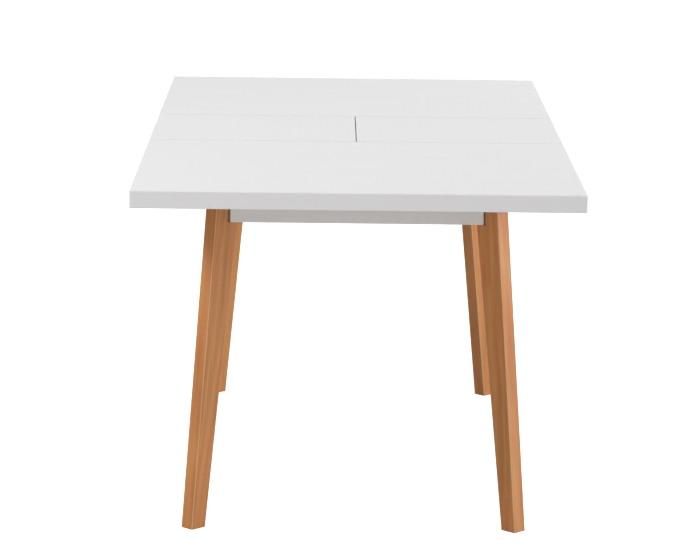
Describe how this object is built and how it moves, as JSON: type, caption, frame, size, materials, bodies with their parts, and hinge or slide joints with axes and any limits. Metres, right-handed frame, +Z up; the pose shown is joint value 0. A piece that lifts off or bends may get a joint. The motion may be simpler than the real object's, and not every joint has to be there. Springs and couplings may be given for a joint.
{
  "type": "extendable dining table",
  "caption": "Extendable dining table with a white slab top on sliding panels, a folding centre leaf, a pale apron frame and splayed tapering wooden legs.",
  "frame": {"origin": "on the floor, under the middle of the top", "axes": "+X across the table, +Y along its length, +Z up"},
  "size_m": [0.9, 1.8, 0.75],
  "materials": {
    "top_lacquer": "white satin-gloss lacquer on fibreboard",
    "frame_lacquer": "off-white satin lacquer on fibreboard",
    "leg_wood": "honey-brown beech under clear matt lacquer, grain along the leg",
    "inner_wood": "plain sawn pine, unfinished",
    "slide_steel": "zinc-plated strip steel",
    "fastener_steel": "zinc-plated bolts, nuts, screws and hinge barrels",
    "nylon": "natural nylon"
  },
  "bodies": {
    "frame": {"leg_front_left": "leg_wood", "leg_front_right": "leg_wood", "leg_rear_left": "leg_wood", "leg_rear_right": "leg_wood", "corner_block_front_left": "inner_wood", "corner_block_front_right": "inner_wood", "corner_block_rear_left": "inner_wood", "corner_block_rear_right": "inner_wood", "leg_bolts": "fastener_steel", "leg_washers": "fastener_steel", "leg_nuts": "fastener_steel", "apron_front": "frame_lacquer", "apron_rear": "frame_lacquer", "side_rail_left": "frame_lacquer", "side_rail_right": "frame_lacquer", "glide_pads": "nylon", "channel_left": "slide_steel", "channel_right": "slide_steel", "channel_screws": "fastener_steel", "leaf_bearer_front": "slide_steel", "leaf_bearer_rear": "slide_steel"},
    "front_top": {"top_panel_front": "top_lacquer", "batten_front_left": "inner_wood", "batten_front_right": "inner_wood", "slide_bar_front_left": "slide_steel", "slide_bar_front_right": "slide_steel", "batten_screws_front": "fastener_steel", "support_plates_front": "slide_steel", "plate_screws_front": "fastener_steel"},
    "rear_top": {"top_panel_rear": "top_lacquer", "batten_rear_left": "inner_wood", "batten_rear_right": "inner_wood", "slide_bar_rear_left": "slide_steel", "slide_bar_rear_right": "slide_steel", "batten_screws_rear": "fastener_steel", "support_plates_rear": "slide_steel", "plate_screws_rear": "fastener_steel"},
    "leaf_left_half": {"leaf_left": "top_lacquer", "hinge_barrels_left": "fastener_steel"},
    "leaf_right_half": {"leaf_right": "top_lacquer", "hinge_barrels_right": "fastener_steel"}
  },
  "joints": [
    {"name": "front_top_slide", "type": "slide", "parent": "frame", "child": "front_top", "axis": [0, -1, 0], "range_m": [0, 0.03]},
    {"name": "rear_top_slide", "type": "slide", "parent": "frame", "child": "rear_top", "axis": [0, 1, 0], "range_m": [0, 0.03]},
    {"name": "leaf_left_fold", "type": "hinge", "parent": "frame", "child": "leaf_left_half", "pos_m": [-0.0008, 0, 0.75], "axis": [0, 1, 0], "range_deg": [0, 90]},
    {"name": "leaf_right_fold", "type": "hinge", "parent": "frame", "child": "leaf_right_half", "pos_m": [0.0008, 0, 0.75], "axis": [0, -1, 0], "range_deg": [0, 90]}
  ]
}
